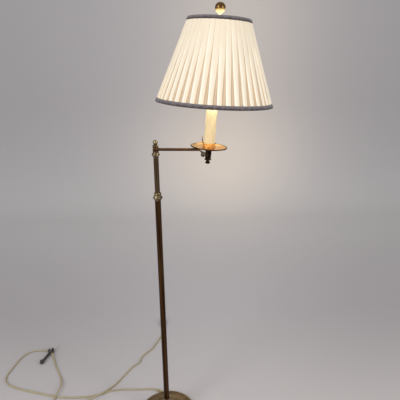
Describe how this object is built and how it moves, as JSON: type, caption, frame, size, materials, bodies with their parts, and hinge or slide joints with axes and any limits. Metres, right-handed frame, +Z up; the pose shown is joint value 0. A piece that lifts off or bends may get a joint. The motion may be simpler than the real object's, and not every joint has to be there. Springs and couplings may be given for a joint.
{
  "type": "floor lamp",
  "caption": "Floor lamp with a weighted round base, a sliding column, a swinging arm, a tilting candle head with a drip pan and a pleated conical shade.",
  "frame": {"origin": "centre of the round base, on the floor", "axes": "+Z up along the column; +X across the picture, with the arm 6.5 degrees to the front of it; the flex leaves at the back, +Y"},
  "size_m": [1.0364, 0.7581, 1.4006],
  "materials": {
    "base_brass": "satin, aged, with a darker rim",
    "iron": "rough casting",
    "plate_steel": "plain",
    "felt": "felt",
    "tube_brass": "aged, dark",
    "mast_brass": "aged, less dark",
    "arm_brass": "aged, reddish",
    "bright_brass": "polished",
    "dark_bronze": "dark patina, glossy",
    "nylon": "satin",
    "bush_rubber": "matt",
    "flex_jacket": "gold-coloured flexible jacket",
    "switch_plastic": "moulded",
    "button_plastic": "moulded",
    "blade_brass": "plain",
    "candle_ivory": "ivory, satin",
    "holder_brass": "satin",
    "liner_card": "pressed card",
    "cap_aluminium": "plain",
    "bulb_opal": "opal white",
    "shade_wire": "painted wire",
    "shade_fabric": "pleated cloth",
    "trim_tape": "woven tape"
  },
  "bodies": {
    "base": {"base_shell": "base_brass", "base_weight": "iron", "base_plate": "plate_steel", "base_felt": "felt", "plate_screws": "plate_steel", "foot_stem": "tube_brass", "foot_washer": "plate_steel", "foot_nut": "plate_steel", "foot_ferrule": "bright_brass", "lower_tube": "tube_brass", "column_collar": "bright_brass", "collar_ring": "bright_brass", "grip_bush": "nylon", "flex_bush": "bush_rubber", "base_flex": "flex_jacket", "flex_to_switch": "flex_jacket", "inline_switch": "switch_plastic", "flex_to_plug": "flex_jacket", "plug_body": "switch_plastic", "plug_blades": "blade_brass"},
    "mast": {"upper_tube": "mast_brass", "guide_bush": "nylon", "top_collar": "bright_brass", "hub_stem": "tube_brass", "hub_washer": "nylon", "hub_cap": "bright_brass", "hub_finial": "bright_brass", "mast_flex": "flex_jacket"},
    "arm": {"arm_hub": "arm_brass", "arm_tube": "arm_brass", "arm_elbow": "arm_brass", "arm_flex": "flex_jacket"},
    "head": {"head_barrel": "dark_bronze", "barrel_finial": "dark_bronze", "tilt_bolt": "plate_steel", "tilt_washers": "nylon", "head_stem": "tube_brass", "drip_pan": "arm_brass", "candle_cup": "bright_brass", "stem_nut": "plate_steel", "candle_sleeve": "candle_ivory", "key_bush": "bright_brass", "head_flex": "flex_jacket", "lampholder_shell": "holder_brass", "lampholder_liner": "liner_card", "bulb_cap": "cap_aluminium", "bulb_glass": "bulb_opal", "harp_carrier": "bright_brass", "harp": "bright_brass", "shade_spider": "shade_wire", "shade_ribs": "shade_wire", "shade_cover": "shade_fabric", "top_trim": "trim_tape", "bottom_trim": "trim_tape", "shade_finial": "bright_brass"},
    "knob": {"thumb_knob": "dark_bronze"},
    "key": {"switch_key": "dark_bronze"},
    "button": {"switch_button": "button_plastic"}
  },
  "joints": [
    {"name": "column_slide", "type": "slide", "parent": "base", "child": "mast", "axis": [0, 0, 1], "range_m": [-0.112, 0.25]},
    {"name": "arm_swing", "type": "hinge", "parent": "mast", "child": "arm", "pos_m": [0, 0, 0.9887], "axis": [0, 0, 1], "range_deg": [-165, 165]},
    {"name": "head_tilt", "type": "hinge", "parent": "arm", "child": "head", "pos_m": [0.14506, -0.01653, 0.9752], "axis": [0.1132, 0.9936, 0], "range_deg": [-5, 35]},
    {"name": "thumb_turn", "type": "hinge", "parent": "head", "child": "knob", "pos_m": [0.14506, -0.01653, 0.9752], "axis": [0.1132, 0.9936, 0], "range_deg": [-180, 0]},
    {"name": "key_turn", "type": "hinge", "parent": "head", "child": "key", "pos_m": [0.14237, -0.01924, 1.01128], "axis": [0.0416, -0.0047, 0.9991], "continuous": true},
    {"name": "button_press", "type": "slide", "parent": "base", "child": "button", "axis": [0, 0, -1], "range_m": [0, 0.0025], "stiffness_N_per_m": 400}
  ]
}
